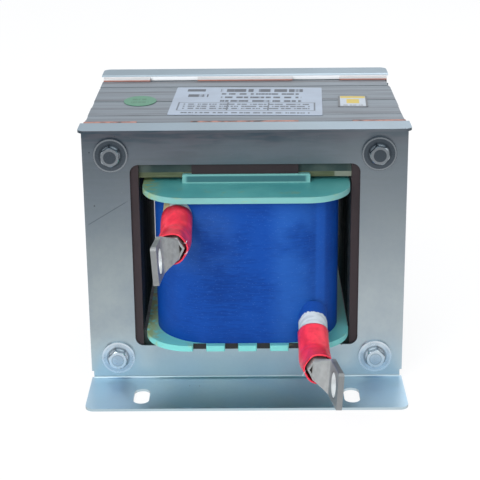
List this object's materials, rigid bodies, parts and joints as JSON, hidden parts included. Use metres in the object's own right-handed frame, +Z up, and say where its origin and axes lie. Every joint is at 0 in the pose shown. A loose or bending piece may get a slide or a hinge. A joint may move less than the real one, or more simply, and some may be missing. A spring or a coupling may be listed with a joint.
{
  "type": "dc reactor",
  "caption": "Iron-core DC reactor: one wrapped coil on a gapped laminated core, clamped between two folded brackets with slotted feet, with two sleeved leads ending in ring lugs.",
  "frame": {"origin": "centre of the footprint between the four slots, on the surface that the feet and the core stand on", "axes": "+X to the right seen from the front, -Y towards the front where the leads come out, +Z up"},
  "size_m": [0.182, 0.2557, 0.157],
  "materials": {
    "zinc_plate": "zinc-plated sheet steel, satin, faint blue passivation",
    "plated_hardware": "zinc-plated bolts, nuts and washers",
    "core_steel": "cut edges of silicon-steel sheets, varnished",
    "phenolic": "brown laminated insulating strip",
    "gap_board": "olive insulating sheet",
    "green_board": "green glass-laminate board with pale cut edges",
    "copper": "copper winding",
    "blue_film": "blue polyester film wrap",
    "lead_tape": "white glass tape",
    "tan_wire": "insulated winding wire",
    "red_sleeve": "red heat-shrink sleeve",
    "tinned_copper": "tinned cable lug",
    "white_label": "blank white label",
    "green_label": "blank green sticker",
    "yellow_label": null,
    "insulating_tube": "paper or polyester tube round the bolt"
  },
  "bodies": {
    "root": {"e_core_stack": "core_steel", "i_yoke_stack": "core_steel", "gap_sheet": "gap_board", "front_bracket": "zinc_plate", "rear_bracket": "zinc_plate", "lower_flange_board": "green_board", "upper_flange_board": "green_board", "tube_front_board": "green_board", "tube_rear_board": "green_board", "tube_left_board": "green_board", "tube_right_board": "green_board", "winding": "copper", "coil_wrap": "blue_film", "upper_conductor": "tan_wire", "lower_conductor": "tan_wire", "upper_tape_root": "lead_tape", "lower_tape_root": "lead_tape", "upper_heat_shrink": "red_sleeve", "lower_heat_shrink": "red_sleeve", "upper_lug": "tinned_copper", "lower_lug": "tinned_copper", "rating_label": "white_label", "oval_sticker": "green_label", "square_sticker": "yellow_label", "clamp_bolts": "plated_hardware", "front_washers": "plated_hardware", "rear_washers": "plated_hardware", "spring_washers": "plated_hardware", "clamp_nuts": "plated_hardware", "bolt_sleeves": "insulating_tube", "front_left_strip": "phenolic", "front_right_strip": "phenolic", "front_top_centre_strip": "phenolic", "front_bottom_centre_strip": "phenolic", "rear_left_strip": "phenolic", "rear_right_strip": "phenolic", "rear_top_centre_strip": "phenolic", "rear_bottom_centre_strip": "phenolic"}
  },
  "joints": []
}
